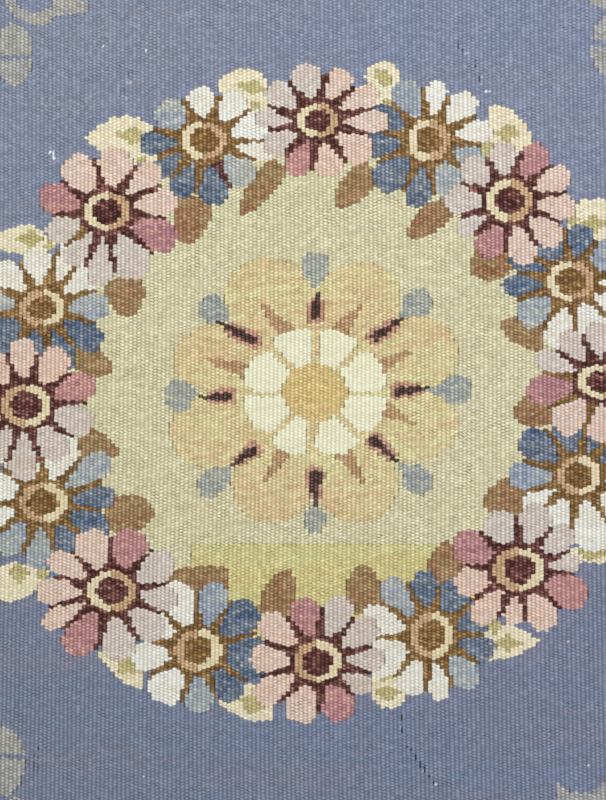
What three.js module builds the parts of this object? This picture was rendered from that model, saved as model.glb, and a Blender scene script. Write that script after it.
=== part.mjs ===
// A cut length of aubusson rug: a flat, weft-faced tapestry weave in wool.
// The cloth is one piece. Its warps run along Y, and each warp shows as a rib on the face.
// The colours of the design lie flat in the same cloth, so they raise nothing here.
// Millimetres, +Z up. The origin is at the middle of the underside.

import * as THREE from "three";

// The cloth as it lies: its length along the warps, and its width half-way along.
const CLOTH_LENGTH = 720;
const CLOTH_WIDTH = 640;
const RIB_PITCH = 3.5;

// Thickness at a rib's crest, and in the valley between two ribs.
const CREST_THICKNESS = 3.0;
const VALLEY_THICKNESS = 2.2;

// Where a rib's rounded top starts and ends, as shares of the rib's width.
const CREST_START = 0.28;
const CREST_END = 0.72;

// How uneven the hand weaving is.
const FAN_SHARE = 0.022; // the warps spread towards the near end and close up at the far end
const WARP_LEAN = 0.02; // the ribs are a little wider on the right than on the left
const WARP_WANDER = 1.6; // how far the warps in the middle swing from side to side
const SIDE_DRAW_IN = 1.8; // how far each side is drawn in half-way along
const END_SAG = 2.4; // how far each cut end curves inwards at its middle
const LENGTH_STEPS = 6;

const halfWidth = CLOTH_WIDTH / 2;
const halfLength = CLOTH_LENGTH / 2;
const ribCount = Math.round(CLOTH_WIDTH / RIB_PITCH);
const ribWidth = CLOTH_WIDTH / ribCount;

// The cloth's section across the warps: a flat underside, and one raised rib for each warp.
function ribbedSection() {
  const section = new THREE.Shape();
  section.moveTo(-halfWidth, 0);
  section.lineTo(halfWidth, 0);
  section.lineTo(halfWidth, VALLEY_THICKNESS);
  for (let rib = ribCount - 1; rib >= 0; rib -= 1) {
    const left = -halfWidth + rib * ribWidth;
    section.lineTo(left + CREST_END * ribWidth, CREST_THICKNESS);
    section.lineTo(left + CREST_START * ribWidth, CREST_THICKNESS);
    section.lineTo(left, VALLEY_THICKNESS);
  }
  section.closePath();
  return section;
}

// Where a point of the even cloth lies in the real one.
// across and along run from -1 to 1, from the left side to the right and from the near end to the far one.
function asWoven(across, along) {
  const inside = 1 - across * across;
  const sideReach = halfWidth * (1 - FAN_SHARE * along) - SIDE_DRAW_IN * (1 - along * along);
  const wander = WARP_WANDER * inside * Math.sin(Math.PI * (1.2 * along + 0.3));
  return {
    x: sideReach * (across - WARP_LEAN * inside) + wander,
    y: halfLength * along - END_SAG * inside * along,
  };
}

function clothGeometry() {
  const geometry = new THREE.ExtrudeGeometry(ribbedSection(), {
    depth: CLOTH_LENGTH,
    steps: LENGTH_STEPS,
    bevelEnabled: false,
  });
  // The extrusion runs along the warps, from the far end to the near one.
  geometry.rotateX(Math.PI / 2);
  geometry.translate(0, halfLength, 0);
  const points = geometry.getAttribute("position");
  for (let i = 0; i < points.count; i += 1) {
    const woven = asWoven(points.getX(i) / halfWidth, points.getY(i) / halfLength);
    points.setX(i, woven.x);
    points.setY(i, woven.y);
  }
  geometry.computeVertexNormals();
  return geometry;
}

const wool = new THREE.MeshStandardMaterial({ color: 0x7f8aa6, roughness: 0.95, metalness: 0 });

const rug = new THREE.Mesh(clothGeometry(), wool);
rug.name = "rug";

const part = new THREE.Group();
part.add(rug);

export default part;
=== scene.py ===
# %% [markdown]
# # An aubusson rug, woven bead by bead
# The rug is one flat cloth. Strong warps run along it (the Y axis here), and coloured wool wefts
# cover them completely, so each warp shows as a rib and each pass of weft over it as a small bead.
# The design isn't printed or sewn on: the weaver simply changes to another yarn from bead to bead.
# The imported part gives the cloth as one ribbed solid. This lesson dresses it in four steps:
# a chart says which yarn makes each bead, a fine grid gives the face its beads, the face is parted
# into one closed piece for each yarn, and each yarn gets its own dyed wool.

import math

import bmesh
import bpy
import numpy as np
from mathutils import Matrix, Vector


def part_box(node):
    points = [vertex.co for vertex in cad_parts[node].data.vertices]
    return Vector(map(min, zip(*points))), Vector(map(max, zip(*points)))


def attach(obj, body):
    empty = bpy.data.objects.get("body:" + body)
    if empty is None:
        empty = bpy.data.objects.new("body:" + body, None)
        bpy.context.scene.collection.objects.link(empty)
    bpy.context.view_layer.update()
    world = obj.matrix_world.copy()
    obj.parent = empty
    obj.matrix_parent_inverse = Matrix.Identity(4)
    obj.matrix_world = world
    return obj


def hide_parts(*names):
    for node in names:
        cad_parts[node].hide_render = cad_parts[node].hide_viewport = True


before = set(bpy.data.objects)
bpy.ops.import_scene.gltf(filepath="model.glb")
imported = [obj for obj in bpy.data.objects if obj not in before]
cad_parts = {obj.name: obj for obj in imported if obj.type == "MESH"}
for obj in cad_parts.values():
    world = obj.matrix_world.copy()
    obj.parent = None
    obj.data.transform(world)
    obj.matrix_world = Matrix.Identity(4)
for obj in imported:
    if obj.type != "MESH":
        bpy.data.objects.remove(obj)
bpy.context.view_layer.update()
rug_low, rug_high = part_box("rug")
print("The solid measures", [round(side, 4) for side in rug_high - rug_low], "m")

# %% [markdown]
# ## Camera, light and floor
# The cloth was photographed from straight above, so the camera looks straight down, with the far end
# of the rug at the top of the picture. A long lens keeps the ribs parallel. The light comes softly
# from the far left, which is enough to give each rib a lit side, and the surroundings fill the rest.

# %% Camera straight above
LENS_MM = 85
SENSOR_MM = 36
VIEW_LENGTH = 0.664  # how much of the rug's length the picture shows, in metres
VIEW_MIDDLE = (-0.0100, -0.0066)
FACE_HEIGHT = 0.003

camera_data = bpy.data.cameras.new("camera")
camera_data.lens = LENS_MM
camera_data.sensor_width = SENSOR_MM
camera = bpy.data.objects.new("camera", camera_data)
camera_height = FACE_HEIGHT + VIEW_LENGTH / 2 / (SENSOR_MM / 2 / LENS_MM)
camera.location = (*VIEW_MIDDLE, camera_height)
bpy.context.collection.objects.link(camera)
bpy.context.scene.camera = camera
print("The camera is", round(camera_height, 3), "m above the floor")

# %% Soft light and a pale floor
LIGHTS = (
    # name, place in metres, size in metres, power in watts
    ("window_light", (-0.4, 1.9, 1.8), 1.6, 38),
    ("ceiling_light", (0.3, 0.2, 2.6), 2.4, 28),
)
ROOM_COLOUR = (0.92, 0.95, 1.0, 1)
ROOM_STRENGTH = 0.46
for light_name, place, size, watts in LIGHTS:
    light_data = bpy.data.lights.new(light_name, "AREA")
    light_data.size = size
    light_data.energy = watts
    light = bpy.data.objects.new(light_name, light_data)
    light.location = place
    light.rotation_euler = (-Vector(place)).to_track_quat("-Z", "Y").to_euler()
    bpy.context.collection.objects.link(light)

world = bpy.data.worlds.new("pale_room")
world.use_nodes = True
world.node_tree.nodes["Background"].inputs["Color"].default_value = ROOM_COLOUR
world.node_tree.nodes["Background"].inputs["Strength"].default_value = ROOM_STRENGTH
bpy.context.scene.world = world
bpy.context.scene.view_settings.view_transform = "Standard"

FLOOR_HALF = 12
FLOOR_DROP = 0.0002  # so that the floor and the cloth's flat underside aren't in one plane
FLOOR_COLOUR = (0.72, 0.70, 0.67, 1)
FLOOR_ROUGHNESS = 0.8
floor_shape = bmesh.new()
bmesh.ops.create_grid(floor_shape, x_segments=1, y_segments=1, size=FLOOR_HALF)
bmesh.ops.translate(floor_shape, verts=floor_shape.verts, vec=(0, 0, -FLOOR_DROP))
floor_mesh = bpy.data.meshes.new("floor")
floor_shape.to_mesh(floor_mesh)
floor_shape.free()
floor = bpy.data.objects.new("floor", floor_mesh)
bpy.context.collection.objects.link(floor)
floor_paint = bpy.data.materials.new("floor_paint")
floor_paint.use_nodes = True
floor_shader = floor_paint.node_tree.nodes["Principled BSDF"]
floor_shader.inputs["Base Color"].default_value = FLOOR_COLOUR
floor_shader.inputs["Roughness"].default_value = FLOOR_ROUGHNESS
floor_mesh.materials.append(floor_paint)

# %% [markdown]
# ## The lie of the cloth
# A hand-woven cloth is never quite square. The warps spread a little towards the near end, lean and
# wander, and the sides and ends are drawn in. The solid has this lie, so the same formula, with the
# same sizes, places each bead here. The sizes are in millimetres, as a weaver would give them.

# %% The cloth's sizes and its lie
MM = 0.001
CLOTH_WIDTH = 640
CLOTH_LENGTH = 720
RIB_COUNT = 183
HALF_BEAD_ROWS = 554  # a bead is two of these rows long, and its neighbours start half a bead later
RIB_WIDTH = CLOTH_WIDTH / RIB_COUNT
HALF_BEAD = CLOTH_LENGTH / HALF_BEAD_ROWS

FAN_SHARE = 0.022
WARP_LEAN = 0.02
WARP_WANDER = 1.6
WANDER_HALF_TURNS = 1.2
WANDER_START = 0.3
SIDE_DRAW_IN = 1.8
END_SAG = 2.4


def as_woven(flat_x, flat_y):
    """Where points of the even cloth lie in the real one, in millimetres."""
    across = flat_x / (CLOTH_WIDTH / 2)
    along = flat_y / (CLOTH_LENGTH / 2)
    inside = 1 - across**2
    side_reach = CLOTH_WIDTH / 2 * (1 - FAN_SHARE * along) - SIDE_DRAW_IN * (1 - along**2)
    wander = WARP_WANDER * inside * np.sin(math.pi * (WANDER_HALF_TURNS * along + WANDER_START))
    woven_x = side_reach * (across - WARP_LEAN * inside) + wander
    woven_y = CLOTH_LENGTH / 2 * along - END_SAG * inside * along
    return woven_x, woven_y


# %% One place in the chart for each bead
bead_rib, bead_step = np.meshgrid(np.arange(RIB_COUNT), np.arange(HALF_BEAD_ROWS // 2 + 1), indexing="ij")
bead_x, bead_y = as_woven(
    -CLOTH_WIDTH / 2 + (bead_rib + 0.5) * RIB_WIDTH,
    -CLOTH_LENGTH / 2 + HALF_BEAD * (2 * bead_step + 1 - bead_rib % 2),
)
print("A bead is", round(RIB_WIDTH, 2), "by", round(2 * HALF_BEAD, 2), "mm, and the chart has", bead_x.size)

# %% [markdown]
# ## The chart
# A weaver works from a chart that gives the yarn for each bead. Here the chart is painted in the order
# that the shapes overlap: the field, the straw ground inside the wreath, leaves, flowers, and the
# rosette in the middle. Each shape is a small formula with sizes in millimetres from the rosette's
# middle, tested at the middle of each bead, so every outline comes out in steps of whole beads, as it
# does on the loom.

# %% Yarns, and how a shape is laid on the chart
YARN_NAMES = (
    "field_far", "field_middle", "field_near", "straw", "straw_green",
    "leaf_pale", "leaf_green", "leaf_brown", "white", "light_blue", "dark_blue",
    "brown", "lilac", "pale_pink", "rose", "burgundy", "cream", "peach",
    "petal_gold", "petal_shade", "middle_gold", "ivory",
    "stamen_rose", "stamen_dark", "drop_blue", "sage",
)
YARN_NUMBER = {name: number for number, name in enumerate(YARN_NAMES)}
chart = np.full(bead_x.shape, YARN_NUMBER["field_middle"])


def lay(where, yarn):
    """Weaves the beads that where picks out in that yarn."""
    chart[where] = YARN_NUMBER[yarn]


def seen_from(place, turn=0):
    """The beads' places as seen from a point, turned so that the first is along that angle."""
    away_x = bead_x - place[0]
    away_y = bead_y - place[1]
    cosine = math.cos(math.radians(turn))
    sine = math.sin(math.radians(turn))
    return away_x * cosine + away_y * sine, away_y * cosine - away_x * sine


def turn_from(angle, middle):
    """How far angles are from a middle one, from -180 to 180 degrees."""
    return (angle - middle + 180) % 360 - 180


def inside_oval(place, half_x, half_y, turn=0):
    along, aside = seen_from(place, turn)
    return np.hypot(along / half_x, aside / half_y) < 1


# %% The field, the ground inside the wreath, and the corners
FIELD_FAR_FROM = 110
FIELD_NEAR_FROM = -130
GROUND_RADIUS = 217
GREEN_GROUND_RIGHT_OF = -103.5
GREEN_GROUND_NEARER_THAN = -126
CORNER_LEAVES = (
    # middle x and y, half width, half height
    (-250, 280.5, 16, 26),
    (247, 287, 18.5, 26.5),
    (-260, -307, 19.5, 28.5),
    (245, 325, 18, 8),
    (-248, -350, 12, 14),
)
FIELD_ROWS = (
    # middle x and y, half width, half height
    (-250, 278, 20, 1.4),
    (247, 290, 22, 2.6),
    (-260, -303, 22, 1.6),
)
CORNER_BANDS = (
    # middle x and y, inner and outer radius, left end, right end
    (-232, 333, 17, 28, -262, -204),
    (221, -310, 23, 35, 201, 262),
)
CORNER_BAR = (-214, -188, 314.5, 330)  # its left, right, near and far side


def inside_box(left, right, near, far):
    return (bead_x > left) & (bead_x < right) & (bead_y > near) & (bead_y < far)


# The field grows darker towards the near end, in three yarns: partly a real change of dye and partly painted
# light.
lay(bead_y > FIELD_FAR_FROM, "field_far")
lay(bead_y < FIELD_NEAR_FROM, "field_near")
field = chart.copy()
ground = inside_oval((0, 0), GROUND_RADIUS, GROUND_RADIUS)
lay(ground, "straw")
lay(ground & (bead_x > GREEN_GROUND_RIGHT_OF) & (bead_y < GREEN_GROUND_NEARER_THAN), "straw_green")
for middle_x, middle_y, half_width, half_height in CORNER_LEAVES:
    lay(inside_oval((middle_x, middle_y), half_width, half_height), "sage")
for middle_x, middle_y, inner, outer, left, right in CORNER_BANDS:
    band = inside_oval((middle_x, middle_y), outer, outer) & ~inside_oval((middle_x, middle_y), inner, inner)
    lay(band & (bead_y < middle_y) & (bead_x > left) & (bead_x < right), "sage")
lay(inside_box(*CORNER_BAR), "sage")
for middle_x, middle_y, half_width, half_height in FIELD_ROWS:
    left, near = middle_x - half_width, middle_y - half_height
    row = inside_box(left, left + 2 * half_width, near, near + 2 * half_height)
    chart[row] = field[row]

# %% Leaves
BROWN_LEAVES = (
    # stalk end x and y, tip x and y, full width
    (-29, 190, -62, 148, 20),
    (47, 186, 18, 154, 25),
    (-97, 161, -109, 123, 30),
    (110, 154, 77, 129, 22),
    (160, 120, 131, 97, 33),
    (191, 43, 154, 58, 25),
    (197, -13, 164, -18, 28),
    (177, -83, 140, -93, 32),
    (105, -163, 110, -124, 28),
    (42, -184, 38, -144, 32),
    (-36, -186, -22, -148, 28),
    (-72, -160, -122, -157, 30),
    (-174, -102, -133, -100, 32),
    (-195, -37, -164, -53, 22),
    (-202, 33, -168, 17, 25),
    (-160, 96, -154, 63, 32),
)
PALE_LEAVES = (
    # one tip x and y, other tip x and y, how far the left and the right edge bulge
    (-191, 212, -120, 197, 25, 15),
    (-81, 259, -33, 236, 21, 19),
    (61, 224, 56, 268, 9, 9),
    (208, -133, 262, -133, 9, 9),
    (124, -221, 187, -206, 20, 8),
    (-82, -257, -33, -273, 23, 6),
    (-181, -218, -144, -246, 25, 5),
    (-220, -150, -280, -163, 17, 15),
    (-216, 122, -270, 122, 7, 18),
)
PALE_OVALS = (
    # middle x and y, half width, half height, left side
    (56.5, 261.5, 15.5, 12.5, 40),
    (147, 202.5, 33, 36, 145.5),
    (236, 143, 27, 18, 200),
    (61.5, -245.5, 16, 18, 40),
)
LEAF_GREENS = (
    # middle x and y, length, width, turn in degrees
    (-150, 213, 28, 13, -8),
    (-144, 193, 6, 10, 0),
    (-52, 253, 25, 12, -15),
    (-50, 237, 9, 9, 0),
    (57, 261, 18, 12, -30),
    (59, 239, 10, 11, 0),
    (159.5, 215, 18, 15, 0),
    (141, 201, 18, 14, 30),
    (232, 140, 19, 13, 0),
    (214, 144, 8, 15, 0),
    (230, -133, 23, 14, 0),
    (160, -208, 20, 12, 0),
    (149, -194, 13, 12, 0),
    (60, -250, 20, 13, 0),
    (57.5, -233.5, 20, 12, 0),
    (-51, -259, 20, 17, -20),
    (-154, -224, 22, 24, 45),
    (-246, -150, 16, 16, 0),
    (-226, -152, 10, 11, 0),
    (-237, 127, 19, 13, 0),
    (-220, 121, 9, 7, 0),
)
WIDEST_AT = 0.35  # a brown leaf is widest a third of the way from its stalk end
BLUNTNESS = 0.62  # the power in its outline: a lower one makes its ends rounder
GREEN_FULLNESS = 1.15  # how far a green patch reaches past the diamond of its length and width


def seen_along(start, end):
    """How far along the way from start to end each bead is, as a share, and how far left of it."""
    turn = math.degrees(math.atan2(end[1] - start[1], end[0] - start[0]))
    along, aside = seen_from(start, turn)
    return along / math.dist(start, end), aside


def half_bead_across(turn):
    """Half the width of a line one bead wide that runs along that angle in degrees."""
    turn = math.radians(turn)
    return max(RIB_WIDTH / 2 * abs(math.sin(turn)), HALF_BEAD * abs(math.cos(turn)))


for stalk_x, stalk_y, tip_x, tip_y, full_width in BROWN_LEAVES:
    share, aside = seen_along((stalk_x, stalk_y), (tip_x, tip_y))
    roundness = np.clip(1 - ((share - WIDEST_AT) / (1 - WIDEST_AT)) ** 2, 0, 1)
    lay((share > 0) & (share < 1) & (np.abs(aside) < full_width / 2 * roundness**BLUNTNESS), "leaf_brown")
for start_x, start_y, end_x, end_y, left_bulge, right_bulge in PALE_LEAVES:
    share, aside = seen_along((start_x, start_y), (end_x, end_y))
    swell = 4 * share * (1 - share)
    lay((aside < left_bulge * swell) & (aside > -right_bulge * swell), "leaf_pale")
for middle_x, middle_y, half_width, half_height, left in PALE_OVALS:
    lay(inside_oval((middle_x, middle_y), half_width, half_height) & (bead_x > left), "leaf_pale")
for middle_x, middle_y, length, width, turn in LEAF_GREENS:
    along, aside = seen_from((middle_x, middle_y), turn)
    lay(np.abs(along) / (length / 2) + np.abs(aside) / (width / 2) < GREEN_FULLNESS, "leaf_green")

# %% Flowers of the wreath
PETAL_YARNS = {
    "P": "pale_pink",
    "L": "lilac",
    "R": "rose",
    "W": "white",
    "B": "light_blue",
    "D": "dark_blue",
}
FLOWERS = (
    # line yarn, middle x and y, half the ring's width and height, its pale side,
    # petals, the spoke before each petal in degrees, and how far each petal reaches
    ("burgundy", 2, 225.5, 17, 14.5, "left",
     "PPLLLLRPPP", (12, 42, 80, 127, 164, 191, 227, 264, 305, 345), (55, 48, 48, 50, 51, 50, 49, 48, 53, 59)),
    ("brown", -92.3, 208.5, 18.7, 16, "left",
     "WWWBDDDDBW", (0, 33, 71, 116, 166, 198, 228, 262, 299, 340), (60, 50, 45, 48, 53, 46, 52, 54, 52, 60)),
    ("brown", 94.4, 208.9, 17.6, 17.6, "left",
     "WWBDDDDBBW", (26, 64, 96, 134, 168, 202, 243, 275, 320, 355), (53, 50, 55, 52, 56, 58, 57, 54, 48, 53)),
    ("burgundy", 161.4, 159.1, 19, 17.6, "left",
     "PRLLLLRPPP", (8, 41, 77, 119, 160, 199, 226, 266, 302, 337), (55, 54, 48, 50, 53, 50, 51, 55, 55, 56)),
    ("brown", 212.3, 92.3, 19.4, 16.6, "left",
     "BDDDDBWWWW", (10, 57, 98, 145, 171, 199, 240, 277, 315, 345), (50, 48, 54, 54, 57, 54, 58, 60, 54, 50)),
    ("burgundy", 238.5, 8.5, 21, 14, "left",
     "PLLLLRPPPP", (5, 40, 75, 114, 145, 171, 206, 249, 290, 328), (58, 54, 50, 52, 58, 62, 55, 50, 50, 56)),
    ("brown", 219.3, -69.6, 18.7, 15.9, "right",
     "DDDDBWWWWB", (15, 50, 83, 125, 163, 197, 223, 263, 302, 335), (54, 54, 54, 58, 58, 54, 60, 64, 54, 54)),
    ("burgundy", 169.5, -147.3, 21.4, 18.3, "right",
     "LLLRPPPPRL", (20, 52, 92, 136, 176, 214, 247, 278, 317, 355), (56, 56, 52, 59, 55, 57, 47, 56, 61, 52)),
    ("brown", 96.8, -202, 18, 19.7, "right",
     "DDDBWWWWBD", (0, 38, 80, 115, 147, 182, 228, 265, 293, 330), (48, 54, 53, 60, 60, 60, 53, 55, 56, 54)),
    ("burgundy", 2.1, -223.8, 19.4, 17.3, "right",
     "LLRPPPPRLL", (17, 50, 85, 124, 159, 195, 228, 273, 317, 348), (58, 58, 54, 59, 56, 60, 53, 53, 50, 56)),
    ("brown", -97.2, -214.1, 19.7, 17.3, "right",
     "DBWWWWBDD", (17, 55, 92, 132, 168, 207, 252, 290, 327), (60, 57, 60, 60, 55, 55, 52, 53, 60)),
    ("burgundy", -169.2, -165.3, 20.4, 16.9, "left",
     "LRPPPPRLLL", (8, 45, 91, 135, 165, 195, 217, 256, 298, 336), (58, 55, 55, 59, 62, 63, 62, 58, 56, 55)),
    ("brown", -225.5, -92, 20, 16.3, "right",
     "BWWWWBBDDD", (20, 50, 92, 140, 181, 212, 247, 284, 319, 351), (66, 60, 60, 52, 54, 55, 55, 58, 60, 58)),
    ("burgundy", -240.4, -11.3, 20.4, 17.6, "right",
     "RPPPPLLLLL", (3, 36, 76, 111, 148, 182, 217, 252, 284, 326), (61, 55, 56, 56, 60, 60, 56, 63, 53, 58)),
    ("brown", -226.9, 69.9, 18.7, 14.9, "right",
     "WWWWBDDDDB", (19, 50, 75, 116, 155, 190, 235, 278, 310, 345), (60, 66, 50, 50, 54, 52, 54, 56, 58, 56)),
    ("burgundy", -172.6, 149.7, 19.2, 15.9, "left",
     "PPPRLLLLRP", (26, 58, 103, 147, 184, 219, 248, 277, 317, 354),
     (58, 54, 55, 58, 54, 54, 62, 61, 62, 59)),
)
ODD_SPOKES = (
    # middle x of the flower, and the spoke that has the other flowers' line yarn
    (238.5, 171), (238.5, 206), (238.5, 249), (-172.6, 219), (-92.3, 299),
)
OTHER_LINE_YARN = {"burgundy": "brown", "brown": "burgundy"}
DISC_SHARE = (0.61, 0.65)  # of the ring
DARK_RING_WIDTH = 4.4
PETAL_END_DIP = 0.30
SPOKE_FROM = 12
SPOKE_END_SHARE = 0.84  # of the reach of the two petals beside it
SPOKE_HALF_WIDTHS = ((18, 24, 30, 38, 46), (5.2, 4.0, 2.8, 1.9, 1.3))  # at these distances from the middle


def lay_flower(line_yarn, middle, ring, pale_side, petals, spokes, reaches):
    away_x, away_y = seen_from(middle)
    out = np.hypot(away_x, away_y)
    angle = np.degrees(np.arctan2(away_y, away_x))
    next_spokes = spokes[1:] + (spokes[0] + 360,)
    for petal, start, end, reach in zip(petals, spokes, next_spokes, reaches):
        off_middle = np.abs(turn_from(angle, (start + end) / 2)) / ((end - start) / 2)
        lay((off_middle <= 1) & (out < reach * (1 - PETAL_END_DIP * off_middle**3)), PETAL_YARNS[petal])
    for spoke, reach, reach_before in zip(spokes, reaches, reaches[-1:] + reaches[:-1]):
        along, aside = seen_from(middle, spoke)
        half_width = np.maximum(np.interp(along, *SPOKE_HALF_WIDTHS), half_bead_across(spoke))
        spoke_to = SPOKE_END_SHARE * (reach + reach_before) / 2
        yarn = OTHER_LINE_YARN[line_yarn] if (middle[0], spoke) in ODD_SPOKES else line_yarn
        lay((along > SPOKE_FROM) & (along < spoke_to) & (np.abs(aside) < half_width), yarn)
    lay(inside_oval(middle, ring[0] + DARK_RING_WIDTH, ring[1] + DARK_RING_WIDTH), line_yarn)
    pale_ring = inside_oval(middle, *ring)
    pale_half = away_x < 0 if pale_side == "left" else away_x > 0
    lay(pale_ring & pale_half, "cream")
    lay(pale_ring & ~pale_half, "peach")
    lay(inside_oval(middle, DISC_SHARE[0] * ring[0], DISC_SHARE[1] * ring[1]), line_yarn)


for top_line in ("brown", "burgundy"):  # the pink flowers lie over the white and blue ones
    for line_yarn, middle_x, middle_y, ring_x, ring_y, pale_side, petals, spokes, reaches in FLOWERS:
        if line_yarn == top_line:
            lay_flower(line_yarn, (middle_x, middle_y), (ring_x, ring_y), pale_side, petals, spokes, reaches)

# %% The rosette in the middle
ROSETTE_REACH = (126, 114.5)
IVORY_REACH = (60.5, 54.3)
GOLD_DISC = (26.9, 23.7)
PETAL_TURN = 45
ROSETTE_PETALS = (
    # turn of its middle, its reach and the notch beside it as shares of the rosette's reach, its lean
    (22.5, 1.0, 0.26, 0.0),
    (67.5, 1.0, 0.24, -0.1),
    (112.5, 1.04, 0.22, 0.1),
    (157.5, 0.975, 0.26, 0.25),
    (202.5, 1.015, 0.25, 0.0),
    (247.5, 1.0, 0.26, 0.0),
    (292.5, 1.0, 0.26, 0.0),
    (337.5, 0.99, 0.26, 0.25),
)
NOTCH_POWER = 2.2
IVORY_NOTCH = 0.16
IVORY_NOTCH_POWER = 4
SHADE_STROKES = (
    # turn at the ivory petals, turn at the tip, distance of the tip
    (21, 23, 86), (68, 62, 82), (115, 121, 88), (164, 163, 95),
    (243, 241, 86), (295, 298, 86), (349, 342, 86),
)
SHADE_FROM = 52
SHADE_HALF_WIDTH = 7.4
SHADE_TAPER = 0.85  # how much of its width a stroke loses by its tip
IVORY_LINES = (
    # turn in degrees, half the line's width
    (-2.4, 1.3), (45, 2.4), (90, 3.7), (135, 2.4), (182.4, 1.3), (225, 2.4), (265.5, 4.2), (315, 2.4),
)
STAMENS = (
    # where the dark stamen's thick end starts and its thin end stops, half its width
    (66, 0.6, 96, 3.2, 4.2),
    (47.5, 44.5, 74.5, 62.5, 4.2),
    (0.5, 60.8, 0.5, 83.6, 4.6),
    (-49, 40.5, -82, 58.5, 4.4),
    (-70, -3.5, -96, -4.2, 4.4),
    (-49.5, -46.5, -70.5, -62.5, 4.0),
    (0.5, -64.7, -0.4, -94.5, 5.2),
    (47, -38.5, 70.5, -59.5, 4.2),
)
STAMEN_SHARES = ((0, 0.10, 0.45, 0.75, 1), (0.65, 1, 0.72, 0.36, 0.28))  # of its length, its half width
STAMEN_LINE = 2.9
STAMEN_LINE_TO = 0.78
DROPS = (
    # turn of the blue drop and where it starts, distance of its middle, half its length, half its width
    (1, 92, 117.5, 13.5, 11.5),
    (41, 90, 113, 12, 11.5),
    (90, 84, 104, 12, 11.5),
    (141, 96, 108, 12.5, 11),
    (181.5, 96, 113, 11, 13),
    (221.7, 91, 113.5, 13, 10.5),
    (270, 92, 106, 11, 8.2),
    (319.4, 92, 112, 13, 11),
)
DROP_SQUARENESS = 2.4


def in_eighths(reach):
    """How far out each bead is as a share of reach, and its angle there."""
    return (
        np.hypot(bead_x / reach[0], bead_y / reach[1]),
        np.degrees(np.arctan2(bead_y / reach[1], bead_x / reach[0])),
    )


def off_petal(angle):
    """How far each bead is from the nearest petal's middle line, 0 there and 1 between two petals."""
    nearest = np.round((angle - PETAL_TURN / 2) / PETAL_TURN) * PETAL_TURN + PETAL_TURN / 2
    return np.abs(turn_from(angle, nearest)) / (PETAL_TURN / 2)


share, angle = in_eighths(ROSETTE_REACH)
for turn, reach, notch, lean in ROSETTE_PETALS:
    off_middle = turn_from(angle, turn) / (PETAL_TURN / 2)
    in_petal = np.abs(off_middle) <= 1
    off_middle -= lean * (1 - off_middle**2)
    lay(in_petal & (share < reach * (1 - notch * np.abs(off_middle) ** NOTCH_POWER)), "petal_gold")
for base_turn, tip_turn, tip_distance in SHADE_STROKES:
    base = math.radians(base_turn)
    tip = math.radians(tip_turn)
    along, aside = seen_along(
        (SHADE_FROM * math.cos(base), SHADE_FROM * math.sin(base)),
        (tip_distance * math.cos(tip), tip_distance * math.sin(tip)),
    )
    half_width = SHADE_HALF_WIDTH * (1 - SHADE_TAPER * along)
    lay((along > 0) & (along < 1) & (np.abs(aside) < half_width), "petal_shade")

share, angle = in_eighths(IVORY_REACH)
lay(share < 1 - IVORY_NOTCH * off_petal(angle) ** IVORY_NOTCH_POWER, "ivory")
for turn, half_width in IVORY_LINES:
    along, aside = seen_from((0, 0), turn)
    ivory = chart == YARN_NUMBER["ivory"]
    lay(ivory & (along > 0) & (np.abs(aside) < half_width), "petal_gold")
lay(inside_oval((0, 0), *GOLD_DISC), "middle_gold")

for turn, drop_from, drop_middle, half_length, half_width in DROPS:
    along, aside = seen_from((0, 0), turn)
    blob = (np.abs(along - drop_middle) / half_length) ** DROP_SQUARENESS
    blob += (np.abs(aside) / half_width) ** DROP_SQUARENESS
    neck = (along - drop_from) / (drop_middle - drop_from)
    lay((blob < 1) | ((neck > 0) & (neck < 1) & (np.abs(aside) < half_width * neck)), "drop_blue")
for thick_x, thick_y, thin_x, thin_y, half_width in STAMENS:
    share, aside = seen_along((thick_x, thick_y), (thin_x, thin_y))
    turn = math.degrees(math.atan2(thin_y - thick_y, thin_x - thick_x))
    swell = np.maximum(half_width * np.interp(share, *STAMEN_SHARES), half_bead_across(turn))
    line_from = -STAMEN_LINE / math.dist((thick_x, thick_y), (thin_x, thin_y))
    lay((share > line_from) & (share < STAMEN_LINE_TO) & (np.abs(aside) < swell + STAMEN_LINE), "stamen_rose")
    lay((share > 0) & (share < 1) & (np.abs(aside) < swell), "stamen_dark")

for yarn, number in YARN_NUMBER.items():
    print(f"{yarn}: {int((chart == number).sum())} beads")

# %% [markdown]
# ## The face
# One grid makes the whole face. Each rib is three columns of faces wide: up, over and down, and each
# bead is two rows long. The weft goes over one warp and under the next, so beads on neighbouring ribs
# are half a bead apart. The grid's points are then raised into ribs, lowered between two beads of a
# rib, and pushed from side to side in the valleys, where each bead crowds its neighbour's end.
# An old cloth has wear too: slits where two warps have parted, or where one yarn turns back and the
# next begins, and pale specks of lint. The points carry it, so that relief and colour agree: a slit is
# lowered and painted dark, a painted shade of its gap.

# %% A grid with three columns a rib
RIB_SHARES = np.array([0, 0.28, 0.72])  # where the columns' edges lie across a rib
RIB_COLUMNS = len(RIB_SHARES)
CREST_Z = 3.0
VALLEY_Z = 2.0
BEAD_END_DIP = 0.55
VALLEY_SWING = 0.28
HEIGHT_SPREAD = 0.22
columns = RIB_COUNT * RIB_COLUMNS

face_shape = bmesh.new()
bmesh.ops.create_grid(face_shape, x_segments=columns, y_segments=HALF_BEAD_ROWS, size=0.5)
face_mesh = bpy.data.meshes.new("face")
face_shape.to_mesh(face_mesh)
face_shape.free()

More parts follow.
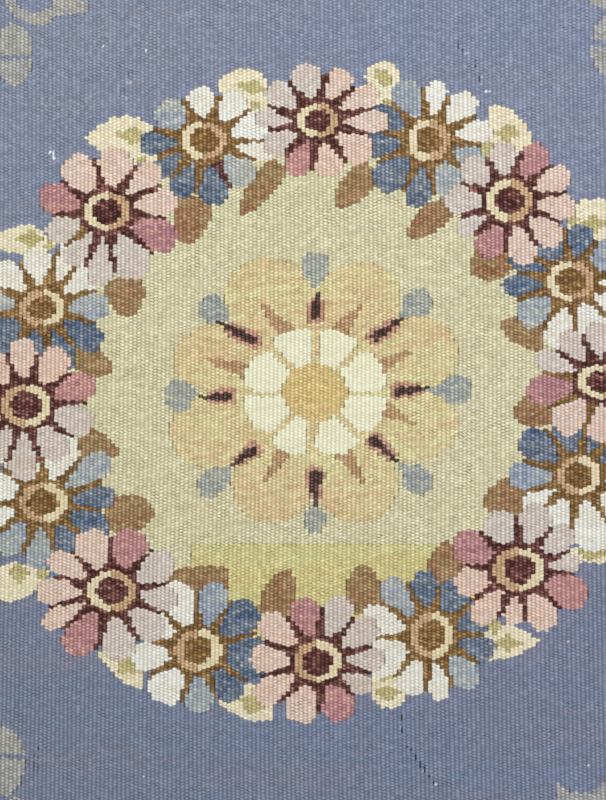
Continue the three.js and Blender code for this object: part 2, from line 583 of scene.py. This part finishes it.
points = np.empty(len(face_mesh.vertices) * 3, np.float32)
face_mesh.vertices.foreach_get("co", points)
points = points.reshape(-1, 3)
centres = np.empty(len(face_mesh.polygons) * 3, np.float32)
face_mesh.polygons.foreach_get("center", centres)
centres = centres.reshape(-1, 3)
point_column = np.rint((points[:, 0] + 0.5) * columns).astype(int)
point_row = np.rint((points[:, 1] + 0.5) * HALF_BEAD_ROWS).astype(int)
face_rib = np.floor((centres[:, 0] + 0.5) * columns).astype(int) // RIB_COLUMNS
face_row = np.floor((centres[:, 1] + 0.5) * HALF_BEAD_ROWS).astype(int)
face_step = (face_row + face_rib % 2) // 2
print("The face has", len(face_rib), "faces")

# %% Raise the ribs and shape the beads
UNEVEN_BEAT = 0.45  # how far a pass of weft lies from its even place, along the warps
UNEVEN_BEAT_PATCH = (4, 7)  # over so many ribs, and rows
UNEVEN_WARP = 0.22
UNEVEN_WARP_PATCH = (5, 40)
UNEVEN_RIB = 0.46
UNEVEN_RIB_PATCH = (1, 11)
SLITS = (
    # where a slit between two warps starts and ends, and how far it opens
    (69.7, -265.6, 76.4, -293, 1.0),
    (76.4, -293, 98.8, -325.4, 1.0),
    (117, 289, 134, 273, 0.9),
    (134, 273, 138.5, 254, 1.0),
    (-150, 269, -155.5, 262, 0.45),
    (-159.5, 255, -159.8, 245, 0.45),
    (-228.5, -285, -228.5, -298, 1.0),
    (-231.8, -301, -231.8, -316, 0.9),
    (-102, -126, -102, -137, 1.0),
)
SLIT_ROWS = 2
SLIT_CLOSED_SHARE = 0.4
SLIT_DEPTH = 0.7
MEETING_WEAR_AND_SHADE = 0.75  # how far a slit opens, at most, and how dark its painted shade is, where one yarn turns back and the next begins
SPECKS = (
    # middle of a pale speck, its length, turn in degrees, how pale
    (-219, 199, 4.5, 10, 1.0),
    (-217, 196, 5, 100, 1.0),
    (-176, 287, 1.6, 0, 1.0),
    (-141, 283.5, 1.8, 0, 0.8),
    (142.5, 250, 4.5, 0, 1.0),
    (126, 281, 3, 0, 0.5),
    (138, 262, 2.5, 0, 0.4),
    (138, 255, 2, 0, 0.4),
    (-154.4, 257, 5, 0, 0.35),
    (-157, 244, 3, 0, 0.3),
    (72, -279, 2, 0, 0.5),
    (90, -314, 3, 0, 0.5),
    (99.5, -325.5, 3.5, 0, 0.9),
    (210, -207, 1.8, 0, 0.9),
    (226, -310, 1.8, 0, 1.0),
    (-143, -319, 1.8, 0, 0.8),
    (-20, 262, 2.5, 90, 0.6),
)
SPECK_HALF_WIDTH = 0.8
SEED = 20
rng = np.random.default_rng(SEED)
bead_height = rng.random(bead_x.shape)


def unevenness(rib, row, amount, patch):
    """Random amounts that change smoothly from one patch of the cloth to the next."""
    knots = rng.normal(0, amount, (RIB_COUNT // patch[0] + 3, HALF_BEAD_ROWS // patch[1] + 3))
    rib_knot, rib_share = np.divmod(rib / patch[0], 1)
    row_knot, row_share = np.divmod(row / patch[1], 1)
    i = rib_knot.astype(int)
    j = row_knot.astype(int)
    near = knots[i, j] * (1 - rib_share) + knots[i + 1, j] * rib_share
    far = knots[i, j + 1] * (1 - rib_share) + knots[i + 1, j + 1] * rib_share
    return near * (1 - row_share) + far * row_share


point_rib, across_rib = np.divmod(point_column, RIB_COLUMNS)
is_valley = across_rib == 0
is_bead_end = (point_row + point_rib) % 2 == 0
point_step = np.clip((point_row + point_rib % 2) // 2, 0, bead_x.shape[1] - 1)
own_rib = np.clip(point_rib, 0, RIB_COUNT - 1)

flat_x = -CLOTH_WIDTH / 2 + (point_rib + RIB_SHARES[across_rib]) * RIB_WIDTH
is_inner_valley = is_valley & (point_column > 0) & (point_column < columns)
flat_x += np.where(is_inner_valley, np.where(is_bead_end, VALLEY_SWING, -VALLEY_SWING), 0)
flat_y = -CLOTH_LENGTH / 2 + point_row * HALF_BEAD
is_inside = (point_column > 0) & (point_column < columns) & (point_row > 0) & (point_row < HALF_BEAD_ROWS)
rib_place = point_column / RIB_COLUMNS
flat_x += is_inside * unevenness(rib_place, point_row, UNEVEN_WARP, UNEVEN_WARP_PATCH)
flat_y += is_inside * unevenness(rib_place, point_row, UNEVEN_BEAT, UNEVEN_BEAT_PATCH)
flat_y += is_inside * unevenness(rib_place, point_row, UNEVEN_RIB, UNEVEN_RIB_PATCH)
woven_x, woven_y = as_woven(flat_x, flat_y)
spread = HEIGHT_SPREAD * bead_height[own_rib, point_step]
crest_z = CREST_Z - spread - np.where(is_bead_end, BEAD_END_DIP, 0)
height = np.where(is_valley, VALLEY_Z, crest_z)

wear_and_slit_shade = np.zeros(len(point_row))
open_share = rng.random((RIB_COUNT + 1, HALF_BEAD_ROWS // SLIT_ROWS + 1))
opened = open_share[point_rib, point_row // SLIT_ROWS]
left_rib = np.clip(point_rib - 1, 0, RIB_COUNT - 1)
left_step = np.clip((point_row + left_rib % 2) // 2, 0, bead_x.shape[1] - 1)
# In a slit the valley is lowered, and the wools paint it dark as painted shade of the gap.
yarns_meet = is_inner_valley & (chart[left_rib, left_step] != chart[own_rib, point_step])
wear_and_slit_shade[yarns_meet] = MEETING_WEAR_AND_SHADE * opened[yarns_meet] ** 2
for start_x, start_y, end_x, end_y, openness in SLITS:
    share = (woven_y - start_y) / (end_y - start_y)
    off_line = np.abs(woven_x - start_x - share * (end_x - start_x))
    in_slit = is_inner_valley & (share > 0) & (share < 1) & (off_line < RIB_WIDTH / 2)
    wear_and_slit_shade[in_slit & (opened > SLIT_CLOSED_SHARE)] = openness
height -= SLIT_DEPTH * wear_and_slit_shade
for speck_x, speck_y, length, turn, paleness in SPECKS:
    cosine = math.cos(math.radians(turn))
    sine = math.sin(math.radians(turn))
    along = (woven_x - speck_x) * cosine + (woven_y - speck_y) * sine
    aside = (woven_y - speck_y) * cosine - (woven_x - speck_x) * sine
    wear_and_slit_shade[~is_valley & (np.abs(along) < length / 2) & (np.abs(aside) < SPECK_HALF_WIDTH)] = -paleness
print("Slit points:", int((wear_and_slit_shade > 0).sum()), "and speck points:", int((wear_and_slit_shade < 0).sum()))

placed = np.stack([woven_x, woven_y, height], axis=1) * MM
face_mesh.vertices.foreach_set("co", placed.astype(np.float32).ravel())

# The loom place counts ribs across and beads along, so a material can find each bead. Its third number
# is the wear there: 1 in an open slit, which the wools darken with painted shade, and down to -1 on a pale
# speck.
loom_place = np.stack([point_rib + RIB_SHARES[across_rib], point_row / 2, wear_and_slit_shade], axis=1)
loom = face_mesh.attributes.new("loom", "FLOAT_VECTOR", "POINT")
loom.data.foreach_set("vector", loom_place.astype(np.float32).ravel())

face_mesh.polygons.foreach_set("material_index", chart[face_rib, face_step].astype(np.int32))
face_mesh.polygons.foreach_set("use_smooth", np.ones(len(face_mesh.polygons), bool))
face_mesh.update()

# %% [markdown]
# ## Dyed wool
# Every yarn is matt wool. What changes from yarn to yarn is the dye: its colour, a second colour that
# runs along the wefts in streaks where the dye took unevenly or two yarns were wound together, and how
# much one bead differs from the next. The field's three yarns grow darker towards the near end, partly
# a real change of dye and partly painted light. Little light gets between the beads, so each bead is
# painted lightest on top and dark at its edges, a painted highlight and painted shade, more at the sides
# of its rib or at its ends, by two shade depths for each yarn. One node group finds the bead and gives
# its painted light and dark; every wool uses it. It reads the wear as well: a slit is painted dark, a
# painted shade, and a speck is pale. Light bounced between the beads is painted too, deepening the
# colour in the gaps and paling it on the tops. Painting each bead in a picture would need a very large
# one, while a formula stays sharp. Fine fibres are bump only. Colours are hex values, as a dyer would
# match them on a screen.

# %% How a bead looks, with its painted light and shade, as a node group
PIT_SHARE = 0.9  # how much more painted shade a bead's corners get, where three beads meet, as a share of its ends
SLANT_SPREAD = 0.5  # beads slope this way or that, because the weft climbs as it crosses the warp
PIT_SPREAD = 1.0  # how much deeper the painted shade is in one pit than in another
PATCH_STRETCH = (0.16, 0.13, 1)  # the weft lies closer in patches of about six ribs by eight beads
PATCH_SPREAD = 1.8  # how much deeper the painted shade between beads is in one patch than in another
SHALLOWEST_PATCH = 0.2
DEEPEST_SHADE = 0.08


def link_or_set(tree, socket, value):
    if isinstance(value, bpy.types.NodeSocket):
        tree.links.new(value, socket)
    else:
        socket.default_value = value


def calculate(tree, operation, *values):
    node = tree.nodes.new("ShaderNodeMath")
    node.operation = operation
    for socket, value in zip(node.inputs, values):
        link_or_set(tree, socket, value)
    return node.outputs["Value"]


def combine(tree, *values):
    node = tree.nodes.new("ShaderNodeCombineXYZ")
    for socket, value in zip(node.inputs, values):
        link_or_set(tree, socket, value)
    return node.outputs["Vector"]


def from_middle_squared(tree, share):
    """0 at the middle of 0..1 and 1 at both ends."""
    swing = calculate(tree, "MULTIPLY_ADD", share, 2, -1)
    return calculate(tree, "MULTIPLY", swing, swing)


def stretched_noise(tree, vector, stretch, detail, turn=0):
    place = tree.nodes.new("ShaderNodeMapping")
    place.inputs["Rotation"].default_value = (0, 0, turn)
    place.inputs["Scale"].default_value = stretch
    tree.links.new(vector, place.inputs["Vector"])
    noise = tree.nodes.new("ShaderNodeTexNoise")
    noise.inputs["Scale"].default_value = 1
    noise.inputs["Detail"].default_value = detail
    tree.links.new(place.outputs["Vector"], noise.inputs["Vector"])
    return noise.outputs["Fac"]


bead_look = bpy.data.node_groups.new("bead_look", "ShaderNodeTree")
bead_look.interface.new_socket("Rib Shade Depth", in_out="INPUT", socket_type="NodeSocketFloat")
bead_look.interface.new_socket("Bead Shade Depth", in_out="INPUT", socket_type="NodeSocketFloat")
bead_look.interface.new_socket("Shade", in_out="OUTPUT", socket_type="NodeSocketFloat")
bead_look.interface.new_socket("Chance", in_out="OUTPUT", socket_type="NodeSocketColor")
bead_look.interface.new_socket("Bead Place", in_out="OUTPUT", socket_type="NodeSocketVector")
bead_look.interface.new_socket("Wear And Slit Shade", in_out="OUTPUT", socket_type="NodeSocketFloat")
depths = bead_look.nodes.new("NodeGroupInput")
loom_node = bead_look.nodes.new("ShaderNodeAttribute")
loom_node.attribute_name = "loom"
loom_parts = bead_look.nodes.new("ShaderNodeSeparateXYZ")
bead_look.links.new(loom_node.outputs["Vector"], loom_parts.inputs["Vector"])
rib = calculate(bead_look, "FLOOR", loom_parts.outputs["X"])
across = calculate(bead_look, "FRACT", loom_parts.outputs["X"])
half_step = calculate(bead_look, "MULTIPLY", calculate(bead_look, "FLOORED_MODULO", rib, 2), 0.5)
beads_along = calculate(bead_look, "ADD", loom_parts.outputs["Y"], half_step)
step = calculate(bead_look, "FLOOR", beads_along)
along = calculate(bead_look, "FRACT", beads_along)
chance = bead_look.nodes.new("ShaderNodeTexWhiteNoise")
bead_look.links.new(combine(bead_look, rib, step, 0.5), chance.inputs["Vector"])
slant = calculate(bead_look, "MULTIPLY_ADD", chance.outputs["Value"], SLANT_SPREAD, -SLANT_SPREAD / 2)
off_crest = calculate(bead_look, "SUBTRACT", across, 0.5)
slanted = calculate(bead_look, "MULTIPLY_ADD", off_crest, slant, along)
side = from_middle_squared(bead_look, across)
on_bead = calculate(bead_look, "MINIMUM", calculate(bead_look, "MAXIMUM", slanted, 0), 1)
end = from_middle_squared(bead_look, on_bead)
chances = bead_look.nodes.new("ShaderNodeSeparateColor")
bead_look.links.new(chance.outputs["Color"], chances.inputs["Color"])
own_depth = calculate(bead_look, "MULTIPLY_ADD", chances.outputs["Blue"], PIT_SPREAD, 1 - PIT_SPREAD / 2)
end = calculate(bead_look, "MULTIPLY", end, own_depth)
pit = calculate(bead_look, "MULTIPLY", side, end)
# The shade is painted into the colour: a painted highlight on a bead's top and painted shade at its edges.
# Each term is 0 on average, so a yarn keeps its colour whatever its shade depths are.
rib_light = calculate(bead_look, "SUBTRACT", 1 / 3, side)
end_light = calculate(bead_look, "SUBTRACT", 1 / 3, end)
pit_light = calculate(bead_look, "SUBTRACT", 1 / 9, pit)
bead_light = calculate(bead_look, "MULTIPLY_ADD", pit_light, PIT_SHARE, end_light)
bead_middle = combine(bead_look, rib, calculate(bead_look, "SUBTRACT", step, half_step), 0)
patch = stretched_noise(bead_look, bead_middle, PATCH_STRETCH, 1)
patch_depth = calculate(bead_look, "MULTIPLY_ADD", patch, PATCH_SPREAD, 1 - PATCH_SPREAD / 2)
patch_depth = calculate(bead_look, "MAXIMUM", patch_depth, SHALLOWEST_PATCH)
bead_light = calculate(bead_look, "MULTIPLY", bead_light, patch_depth)
shade = calculate(bead_look, "MULTIPLY_ADD", rib_light, depths.outputs["Rib Shade Depth"], 1)
shade = calculate(bead_look, "MULTIPLY_ADD", bead_light, depths.outputs["Bead Shade Depth"], shade)
shade = calculate(bead_look, "MAXIMUM", shade, DEEPEST_SHADE)
outlet = bead_look.nodes.new("NodeGroupOutput")
bead_look.links.new(shade, outlet.inputs["Shade"])
bead_look.links.new(chance.outputs["Color"], outlet.inputs["Chance"])
bead_look.links.new(bead_middle, outlet.inputs["Bead Place"])
bead_look.links.new(loom_parts.outputs["Z"], outlet.inputs["Wear And Slit Shade"])
print("The bead group has", len(bead_look.nodes), "nodes")

# %% Wool
YARN_DYES_AND_SHADES = {
    # yarn: (colour, second colour, its share in streaks, in broad bands and in single beads,
    #        bead difference, rib depth and bead depth of the painted shade)
    # the field's three yarns grow darker towards the near end: partly a real change of dye and partly painted
    # light
    "field_far": ("#778197", "#818493", 0.35, 0.40, 0.15, 0.08, 0.24, 0.28),
    "field_middle": ("#737f95", "#7c8190", 0.35, 0.40, 0.15, 0.07, 0.27, 0.26),
    "field_near": ("#6e7a90", "#7b7a8a", 0.35, 0.40, 0.12, 0.06, 0.31, 0.27),
    "straw": ("#c6c1a1", "#c0b58a", 0.3, 0.15, 0.25, 0.08, 0.31, 0.42),
    "straw_green": ("#bfbb85", "#c5b276", 0.3, 0.5, 0.2, 0.08, 0.27, 0.39),
    "leaf_pale": ("#dad1b7", "#d3c69e", 0.4, 0.2, 0.2, 0.07, 0.30, 0.28),
    "leaf_green": ("#b4aa79", "#a99c6c", 0.4, 0.2, 0.3, 0.08, 0.34, 0.36),
    "leaf_brown": ("#8c6248", "#937e57", 0.5, 0.3, 0.7, 0.14, 0.40, 0.40),
    "white": ("#d8d8d0", "#d2c9b2", 0.4, 0.3, 0.2, 0.05, 0.34, 0.28),
    "light_blue": ("#828d9f", "#acad9f", 0.4, 0.4, 0.6, 0.10, 0.38, 0.35),
    "dark_blue": ("#485a73", "#818588", 0.3, 0.2, 0.7, 0.16, 0.44, 0.40),
    "brown": ("#6e5131", "#8a6c40", 0.3, 0.1, 0.8, 0.20, 0.40, 0.42),
    "lilac": ("#c4bab2", "#beaf9f", 0.4, 0.4, 0.2, 0.07, 0.36, 0.33),
    "pale_pink": ("#cdb9ab", "#d0af9a", 0.4, 0.4, 0.2, 0.07, 0.36, 0.34),
    "rose": ("#9e7075", "#bb8d82", 0.45, 0.35, 0.4, 0.11, 0.37, 0.37),
    "burgundy": ("#462926", "#74483f", 0.15, 0.1, 0.8, 0.24, 0.48, 0.46),
    "cream": ("#d6c8a8", "#cfc297", 0.4, 0.2, 0.2, 0.06, 0.30, 0.22),
    "peach": ("#b0906e", "#bc9d78", 0.5, 0.2, 0.3, 0.09, 0.42, 0.38),
    "petal_gold": ("#ccc694", "#c6ab81", 0.6, 0.4, 0.4, 0.08, 0.33, 0.36),
    "petal_shade": ("#a98a66", "#a4835f", 0.5, 0.2, 0.3, 0.09, 0.44, 0.42),
    "middle_gold": ("#c8b378", "#c4a670", 0.4, 0.3, 0.3, 0.08, 0.33, 0.36),
    "ivory": ("#dfddc1", "#d9d5b1", 0.4, 0.2, 0.2, 0.04, 0.31, 0.20),
    "stamen_rose": ("#ad8a75", "#b27f70", 0.5, 0.2, 0.3, 0.09, 0.44, 0.42),
    "stamen_dark": ("#3e3029", "#503733", 0.4, 0.2, 0.6, 0.16, 0.60, 0.56),
    "drop_blue": ("#8b9091", "#a9a993", 0.4, 0.2, 0.7, 0.10, 0.40, 0.38),
    "sage": ("#8f9093", "#9f9d91", 0.4, 0.3, 0.5, 0.10, 0.38, 0.36),
    "warp": ("#d9cfb8", "#cbbd9f", 0.5, 0.0, 0.0, 0.0, 0.0, 0.0),
}
STREAK_STRETCH = (0.11, 0.62, 1)  # streaks run over about nine ribs, and are one or two beads wide
BAND_STRETCH = (0.012, 0.055, 1)  # bands run over eighty ribs, and are twenty beads wide
STREAK_RANGE = (0.40, 0.62)  # of the noise, between none and all of the second colour
BAND_RANGE = (0.42, 0.60)
SINGLE_POWER = 3  # a higher power leaves fewer single beads with the second colour
TINT_RANGE = (-0.25, 0.25)  # from left to right, in metres
LEFT_TINT = (0.985, 0.98, 0.96)  # the whole cloth is a little yellower and darker on the left
RIGHT_TINT = (1.02, 1.015, 1.035)
# painted shade: how much darker an open slit is painted
SLIT_SHADE = 0.85
PAINTED_BOUNCE_LIGHT = 0.5  # painted bounce light: a gap's colour is painted deeper and a bead's top paler, as light bounced from bead to bead would make them
SPECK_COLOUR = "#f4f2ea"
FIBRE_SIZE = (500, 1900, 500)
FIBRE_TILT = math.radians(18)
FIBRE_DEPTH = 0.00012
WOOL_ROUGHNESS = 0.95
WOOL_GLOSS = 0.15
WOOL_SHEEN = 0.05
SHEEN_ROUGHNESS = 0.5


def dye(hex_colour):
    """A screen colour as the linear values that Blender's shaders use."""
    parts = [int(hex_colour[start:start + 2], 16) / 255 for start in (1, 3, 5)]
    linear = [part / 12.92 if part <= 0.04045 else ((part + 0.055) / 1.055) ** 2.4 for part in parts]
    return (*linear, 1)


def in_range(tree, value, low, high, top):
    """0 where value is under low, rising to top where it reaches high."""
    ramp = tree.nodes.new("ShaderNodeMapRange")
    ramp.inputs["From Min"].default_value = low
    ramp.inputs["From Max"].default_value = high
    ramp.inputs["To Max"].default_value = top
    tree.links.new(value, ramp.inputs["Value"])
    return ramp.outputs["Result"]


def mix_colours(tree, share, first, second):
    mix = tree.nodes.new("ShaderNodeMix")
    mix.data_type = "RGBA"
    link_or_set(tree, mix.inputs["Factor"], share)
    link_or_set(tree, mix.inputs["A"], first)
    link_or_set(tree, mix.inputs["B"], second)
    return mix.outputs["Result"]


def wool(name, base, second, streak_share, band_share, single_share, bead_difference, rib_shade_depth, bead_shade_depth):
    material = bpy.data.materials.new("wool_" + name)
    material.use_nodes = True
    tree = material.node_tree
    shader = tree.nodes["Principled BSDF"]
    shader.inputs["Roughness"].default_value = WOOL_ROUGHNESS
    shader.inputs["Specular IOR Level"].default_value = WOOL_GLOSS
    shader.inputs["Sheen Weight"].default_value = WOOL_SHEEN
    shader.inputs["Sheen Roughness"].default_value = SHEEN_ROUGHNESS

    bead = tree.nodes.new("ShaderNodeGroup")
    bead.node_tree = bead_look
    bead.inputs["Rib Shade Depth"].default_value = rib_shade_depth
    bead.inputs["Bead Shade Depth"].default_value = bead_shade_depth
    chances = tree.nodes.new("ShaderNodeSeparateColor")
    tree.links.new(bead.outputs["Chance"], chances.inputs["Color"])
    place = tree.nodes.new("ShaderNodeTexCoord")
    side_place = tree.nodes.new("ShaderNodeSeparateXYZ")
    tree.links.new(place.outputs["Object"], side_place.inputs["Vector"])

    streaks = stretched_noise(tree, bead.outputs["Bead Place"], STREAK_STRETCH, 2)
    bands = stretched_noise(tree, bead.outputs["Bead Place"], BAND_STRETCH, 3)
    in_streaks = in_range(tree, streaks, *STREAK_RANGE, streak_share)
    in_bands = in_range(tree, bands, *BAND_RANGE, band_share)
    second_share = calculate(tree, "ADD", in_streaks, in_bands)
    few_beads = calculate(tree, "POWER", chances.outputs["Red"], SINGLE_POWER)
    second_share = calculate(tree, "MULTIPLY_ADD", few_beads, single_share, second_share)
    dyed = mix_colours(tree, second_share, dye(base), dye(second))
    rightness = in_range(tree, side_place.outputs["X"], *TINT_RANGE, 1)
    tint = mix_colours(tree, rightness, LEFT_TINT + (1,), RIGHT_TINT + (1,))
    tinted = tree.nodes.new("ShaderNodeVectorMath")
    tinted.operation = "MULTIPLY"
    tree.links.new(dyed, tinted.inputs[0])
    tree.links.new(tint, tinted.inputs[1])

    own_chance = chances.outputs["Green"]
    own_shade = calculate(tree, "MULTIPLY_ADD", own_chance, 2 * bead_difference, 1 - bead_difference)
    # The bead's painted highlight and painted shade, from the node group.
    shade = calculate(tree, "MULTIPLY", own_shade, bead.outputs["Shade"])
    # An open slit is painted dark: painted shade in its gap.
    slit_shade_share = calculate(tree, "MAXIMUM", bead.outputs["Wear And Slit Shade"], 0)
    shade = calculate(tree, "MULTIPLY", shade, calculate(tree, "MULTIPLY_ADD", slit_shade_share, -SLIT_SHADE, 1))
    # Painted bounce light: the colour is painted deeper in the gaps and paler on the beads' tops.
    bounce_painted = tree.nodes.new("ShaderNodeGamma")
    tree.links.new(tinted.outputs["Vector"], bounce_painted.inputs["Color"])
    bounce_power = calculate(tree, "MULTIPLY_ADD", shade, -PAINTED_BOUNCE_LIGHT, 1 + PAINTED_BOUNCE_LIGHT)
    tree.links.new(bounce_power, bounce_painted.inputs["Gamma"])
    shaded = tree.nodes.new("ShaderNodeVectorMath")
    shaded.operation = "SCALE"
    tree.links.new(bounce_painted.outputs["Color"], shaded.inputs["Vector"])
    tree.links.new(shade, shaded.inputs["Scale"])
    speck = calculate(tree, "MINIMUM", calculate(tree, "MULTIPLY", bead.outputs["Wear And Slit Shade"], -1), 1)
    speck = calculate(tree, "MAXIMUM", speck, 0)
    worn = mix_colours(tree, speck, shaded.outputs["Vector"], dye(SPECK_COLOUR))
    tree.links.new(worn, shader.inputs["Base Color"])

    fibres = stretched_noise(tree, place.outputs["Object"], FIBRE_SIZE, 2, FIBRE_TILT)
    bump = tree.nodes.new("ShaderNodeBump")
    bump.inputs["Distance"].default_value = FIBRE_DEPTH
    tree.links.new(fibres, bump.inputs["Height"])
    tree.links.new(bump.outputs["Normal"], shader.inputs["Normal"])
    return material


wools = {name: wool(name, *YARN_DYES_AND_SHADES[name]) for name in YARN_NAMES}
for name in YARN_NAMES:
    face_mesh.materials.append(wools[name])
print(len(wools), "wools dyed")

# %% [markdown]
# ## One piece for each yarn
# The grid is parted where the yarn changes, as the cloth itself is: two yarns only meet there. Each
# part then gets its own thickness, from the face down to the flat underside, so it is a closed piece
# that shows its colour on the back too, as a tapestry does.

# %% Part the face
face = bpy.data.objects.new("face", face_mesh)
bpy.context.collection.objects.link(face)
bpy.ops.object.select_all(action="DESELECT")
bpy.context.view_layer.objects.active = face
face.select_set(True)
bpy.ops.object.mode_set(mode="EDIT")
bpy.ops.mesh.separate(type="MATERIAL")
bpy.ops.object.mode_set(mode="OBJECT")
yarn_pieces = [part for part in bpy.context.selected_objects if part.type == "MESH"]
for part in yarn_pieces:
    used = part.data.materials[part.data.polygons[0].material_index]
    part.name = used.name.replace("wool_", "weft_")
    part.data.name = part.name
    part.data.materials.clear()
    part.data.materials.append(used)
    part.data.polygons.foreach_set("material_index", np.zeros(len(part.data.polygons), np.int32))
    part.select_set(False)
print("The face is parted into", len(yarn_pieces), "yarns")

# %% Give each part its thickness and underside
FACE_SHARE = 0.9  # of the unwrapped square's width that the face takes; the underside has the rest
UNDERSIDE_SHARE = 0.09


def close_below(part):
    """Closes a part of the face with walls and an underside, and tells how many edges are left open."""
    shape = bmesh.new()
    shape.from_mesh(part.data)
    on_face = shape.faces.layers.int.new("on_face")
    for one_face in shape.faces:
        one_face[on_face] = 1
    rim = [edge for edge in shape.edges if edge.is_boundary]
    for edge in rim:
        edge.smooth = False
    drawn = bmesh.ops.extrude_edge_only(shape, edges=rim)["geom"]
    lower = [point for point in drawn if isinstance(point, bmesh.types.BMVert)]
    bmesh.ops.scale(shape, verts=lower, vec=(1, 1, 0))
    lower_edges = [edge for edge in drawn if isinstance(edge, bmesh.types.BMEdge) and edge.is_boundary]
    for edge in lower_edges:
        edge.smooth = False
    bmesh.ops.triangle_fill(shape, edges=lower_edges, normal=(0, 0, -1))
    for one_face in shape.faces:
        if not one_face[on_face]:
            one_face.smooth = False
    bmesh.ops.recalc_face_normals(shape, faces=shape.faces)

    low_x = min(point.co.x for point in shape.verts)
    low_y = min(point.co.y for point in shape.verts)
    width = max(point.co.x for point in shape.verts) - low_x
    length = max(point.co.y for point in shape.verts) - low_y
    bake = shape.loops.layers.uv.new("OFBake")
    for one_face in shape.faces:
        start, share = (0, FACE_SHARE) if one_face[on_face] else (1 - UNDERSIDE_SHARE, UNDERSIDE_SHARE)
        for loop in one_face.loops:
            place = loop.vert.co
            loop[bake].uv = (start + share * (place.x - low_x) / width, (place.y - low_y) / length)
    open_edges = sum(edge.is_boundary or not edge.is_manifold for edge in shape.edges)
    shape.faces.layers.int.remove(on_face)
    shape.to_mesh(part.data)
    shape.free()
    return open_edges


for part in yarn_pieces:
    open_edges = close_below(part)
    part.data.calc_loop_triangles()
    print(part.name, len(part.data.loop_triangles), "triangles,", open_edges, "open edges")

# %% [markdown]
# ## The warps
# Under the wefts lie the warps, one strong cotton cord in each rib. Only their cut ends show, at the
# two ends of the cloth. Each cord is a six-sided tube that follows the lie of its rib.

# %% Cords in the ribs
CORD_RADIUS = 0.9
CORD_SIDES = 6
CORD_STEPS = 12
CORD_END = 0.6  # how far a cut end stands out of the wefts
CORD_MIDDLE_Z = 1.1

cord_shape = bmesh.new()
bmesh.ops.create_cone(
    cord_shape,
    cap_ends=True,
    segments=CORD_SIDES,
    radius1=CORD_RADIUS,
    radius2=CORD_RADIUS,
    depth=CLOTH_LENGTH,
)
long_edges = [edge for edge in cord_shape.edges if abs(edge.verts[0].co.z - edge.verts[1].co.z) > 1]
bmesh.ops.subdivide_edges(cord_shape, edges=long_edges, cuts=CORD_STEPS - 1, use_grid_fill=True)
bmesh.ops.rotate(cord_shape, verts=cord_shape.verts, matrix=Matrix.Rotation(math.radians(90), 3, "X"))
first_x = -CLOTH_WIDTH / 2 + RIB_WIDTH / 2
bmesh.ops.translate(cord_shape, verts=cord_shape.verts, vec=(first_x, 0, CORD_MIDDLE_Z))
first_cord = list(cord_shape.verts) + list(cord_shape.edges) + list(cord_shape.faces)
for rib in range(1, RIB_COUNT):
    copied = bmesh.ops.duplicate(cord_shape, geom=first_cord)["geom"]
    copied_points = [part for part in copied if isinstance(part, bmesh.types.BMVert)]
    bmesh.ops.translate(cord_shape, verts=copied_points, vec=(rib * RIB_WIDTH, 0, 0))
warps_mesh = bpy.data.meshes.new("warps")
cord_shape.to_mesh(warps_mesh)
cord_shape.free()

cord_points = np.empty(len(warps_mesh.vertices) * 3, np.float32)
warps_mesh.vertices.foreach_get("co", cord_points)
cord_points = cord_points.reshape(-1, 3).astype(float)
at_end = np.abs(cord_points[:, 1]) > CLOTH_LENGTH / 2 - 0.1
woven_x, woven_y = as_woven(cord_points[:, 0], cord_points[:, 1])
woven_y += np.where(at_end, np.sign(woven_y) * CORD_END, 0)
placed = np.stack([woven_x, woven_y, cord_points[:, 2]], axis=1) * MM
warps_mesh.vertices.foreach_set("co", placed.astype(np.float32).ravel())
warps_mesh.update()
warps = bpy.data.objects.new("warps", warps_mesh)
bpy.context.collection.objects.link(warps)
warps_mesh.materials.append(wool("warp", *YARN_DYES_AND_SHADES["warp"]))
print("The warps have", len(warps_mesh.polygons), "faces")

# %% [markdown]
# ## Hand the pieces over
# Every piece is part of the one cloth, so all of them ride on the part's only body and stand for its
# one solid. The warps are the cloth's ground, cut to the cloth's flat size, and the wefts lie on them.

# %% Attach the pieces and hide the solid
for part in [*yarn_pieces, warps]:
    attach(part, "root")
    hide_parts("rug")
